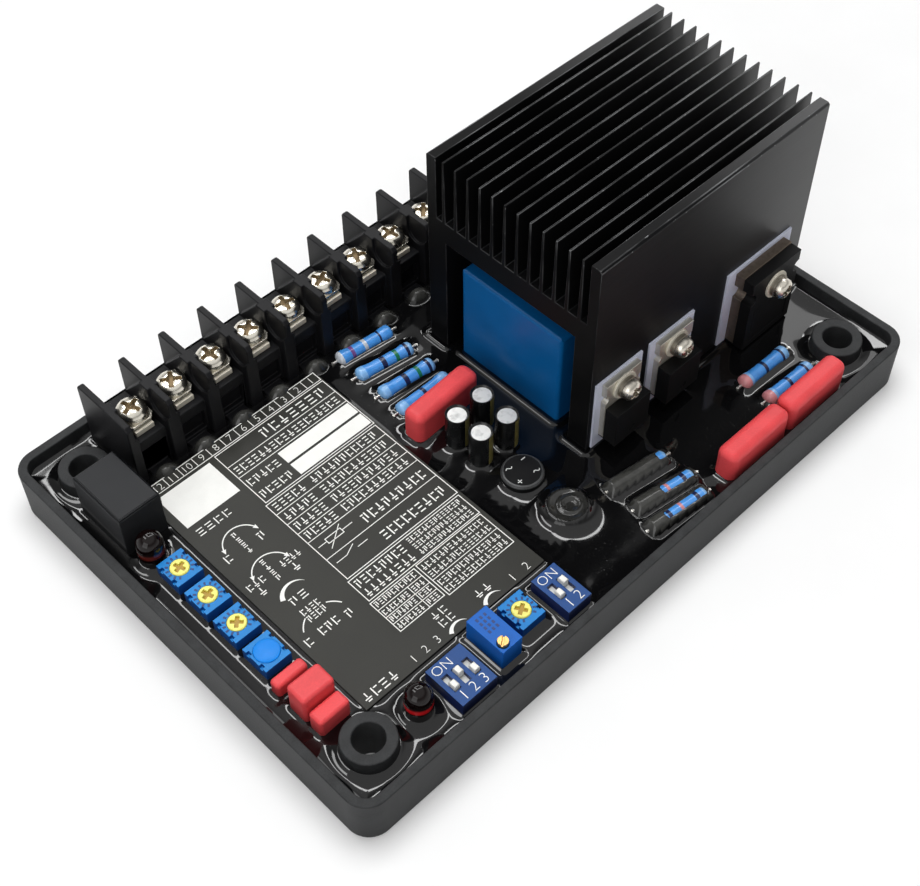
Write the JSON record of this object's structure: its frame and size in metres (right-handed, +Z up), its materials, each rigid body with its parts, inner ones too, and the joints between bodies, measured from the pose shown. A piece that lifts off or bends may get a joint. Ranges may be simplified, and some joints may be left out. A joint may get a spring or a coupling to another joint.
{
  "type": "automatic voltage regulator",
  "caption": "Resin-filled black tray holding a finned heatsink with power transistors, a barrier terminal strip, trimmers, slide switches and small board parts; regulates a generator's output.",
  "frame": {"origin": "centre of the tray's flat underside", "axes": "+X along the terminal strip towards the heatsink end, +Y towards the terminal strip, +Z up"},
  "size_m": [0.157, 0.1064, 0.0596],
  "materials": {
    "tray_plastic": "fine textured black moulding",
    "board_laminate": "solder-masked laminate",
    "casting_resin": "glossy black casting resin",
    "label_grey": "dark grey printed sheet",
    "strip_plastic": "satin black moulding",
    "nickel_plate": "bright nickel plate",
    "black_anodised": "black anodised extrusion",
    "pad_ceramic": "matt pale insulating sheet",
    "tinned_copper": "tinned tab",
    "zinc_steel": "zinc plated steel",
    "black_epoxy": "moulded epoxy",
    "blue_case": "satin blue case",
    "red_case": "satin red case",
    "blue_lacquer": "lacquer with colour bands",
    "lead_wire": "tinned wire",
    "black_sleeve": "shrunk sleeve",
    "can_aluminium": "bare can end",
    "red_lens": "clear deep red lens",
    "relay_case": "satin black case",
    "white_slider": "white moulding",
    "switch_blue": "blue moulding",
    "trimmer_deep_blue": "deep blue moulding",
    "brass": "turned brass",
    "cream_rotor": "cream moulding",
    "seal_blue": "bright blue cap",
    "trimmer_blue": "light blue moulding"
  },
  "bodies": {
    "base": {"tray": "tray_plastic", "circuit_board": "board_laminate", "potting": "casting_resin", "label_plate": "label_grey", "terminal_block": "strip_plastic", "terminal_plates": "nickel_plate", "terminal_clamps": "nickel_plate", "terminal_screws": "nickel_plate", "heatsink": "black_anodised", "insulator_pad_a": "pad_ceramic", "insulator_pad_b": "pad_ceramic", "insulator_pad_c": "pad_ceramic", "transistor_a_tab": "tinned_copper", "transistor_a_body": "black_epoxy", "transistor_b_tab": "tinned_copper", "transistor_b_body": "black_epoxy", "transistor_c_tab": "tinned_copper", "transistor_c_body": "black_epoxy", "transistor_flat_washers": "zinc_steel", "transistor_spring_washers": "zinc_steel", "transistor_screws": "zinc_steel", "box_capacitor": "blue_case", "film_capacitor_rear": "red_case", "film_capacitor_right_a": "red_case", "film_capacitor_right_b": "red_case", "film_capacitor_left_a": "red_case", "film_capacitor_left_b": "red_case", "film_capacitor_left_c": "red_case", "resistors_rear": "blue_lacquer", "resistors_right": "blue_lacquer", "resistors_front": "blue_lacquer", "resistor_leads": "lead_wire", "electrolytic_sleeves": "black_sleeve", "electrolytic_cans": "can_aluminium", "bridge_rectifier": "black_epoxy", "coated_rectifier": "black_epoxy", "led_left": "red_lens", "led_front": "red_lens", "relay": "relay_case", "dip_three_body": "switch_blue", "dip_two_body": "switch_blue", "multiturn_body": "trimmer_deep_blue", "trimmer_a_body": "trimmer_blue", "trimmer_b_body": "trimmer_blue", "trimmer_c_body": "trimmer_blue", "trimmer_d_body": "trimmer_blue", "trimmer_e_body": "trimmer_blue", "trimmer_d_seal": "seal_blue"},
    "trimmer_a_rotor_part": {"trimmer_a_rotor": "cream_rotor"},
    "trimmer_b_rotor_part": {"trimmer_b_rotor": "cream_rotor"},
    "trimmer_c_rotor_part": {"trimmer_c_rotor": "cream_rotor"},
    "trimmer_e_rotor_part": {"trimmer_e_rotor": "cream_rotor"},
    "multiturn_screw_part": {"multiturn_screw": "brass"},
    "dip_three_slider_a_part": {"dip_three_slider_a": "white_slider"},
    "dip_three_slider_b_part": {"dip_three_slider_b": "white_slider"},
    "dip_three_slider_c_part": {"dip_three_slider_c": "white_slider"},
    "dip_two_slider_a_part": {"dip_two_slider_a": "white_slider"},
    "dip_two_slider_b_part": {"dip_two_slider_b": "white_slider"}
  },
  "joints": [
    {"name": "trimmer_a_turn", "type": "hinge", "parent": "base", "child": "trimmer_a_rotor_part", "pos_m": [-0.06875, 0.0102, 0.0112], "axis": [0, 0, 1], "range_deg": [-130, 130]},
    {"name": "trimmer_b_turn", "type": "hinge", "parent": "base", "child": "trimmer_b_rotor_part", "pos_m": [-0.06875, 0.00157, 0.0112], "axis": [0, 0, 1], "range_deg": [-130, 130]},
    {"name": "trimmer_c_turn", "type": "hinge", "parent": "base", "child": "trimmer_c_rotor_part", "pos_m": [-0.06875, -0.00705, 0.0112], "axis": [0, 0, 1], "range_deg": [-130, 130]},
    {"name": "trimmer_e_turn", "type": "hinge", "parent": "base", "child": "trimmer_e_rotor_part", "pos_m": [-0.02903, -0.0423, 0.0112], "axis": [0, 0, 1], "range_deg": [-130, 130]},
    {"name": "multiturn_turn", "type": "hinge", "parent": "base", "child": "multiturn_screw_part", "pos_m": [-0.03803, -0.0463, 0.0144], "axis": [0, 0, 1], "continuous": true},
    {"name": "dip_three_switch_a", "type": "slide", "parent": "base", "child": "dip_three_slider_a_part", "axis": [0, 1, 0], "range_m": [0, 0.0016]},
    {"name": "dip_three_switch_b", "type": "slide", "parent": "base", "child": "dip_three_slider_b_part", "axis": [0, 1, 0], "range_m": [-0.0016, 0]},
    {"name": "dip_three_switch_c", "type": "slide", "parent": "base", "child": "dip_three_slider_c_part", "axis": [0, 1, 0], "range_m": [0, 0.0016]},
    {"name": "dip_two_switch_a", "type": "slide", "parent": "base", "child": "dip_two_slider_a_part", "axis": [0, 1, 0], "range_m": [0, 0.0016]},
    {"name": "dip_two_switch_b", "type": "slide", "parent": "base", "child": "dip_two_slider_b_part", "axis": [0, 1, 0], "range_m": [-0.0016, 0]}
  ]
}
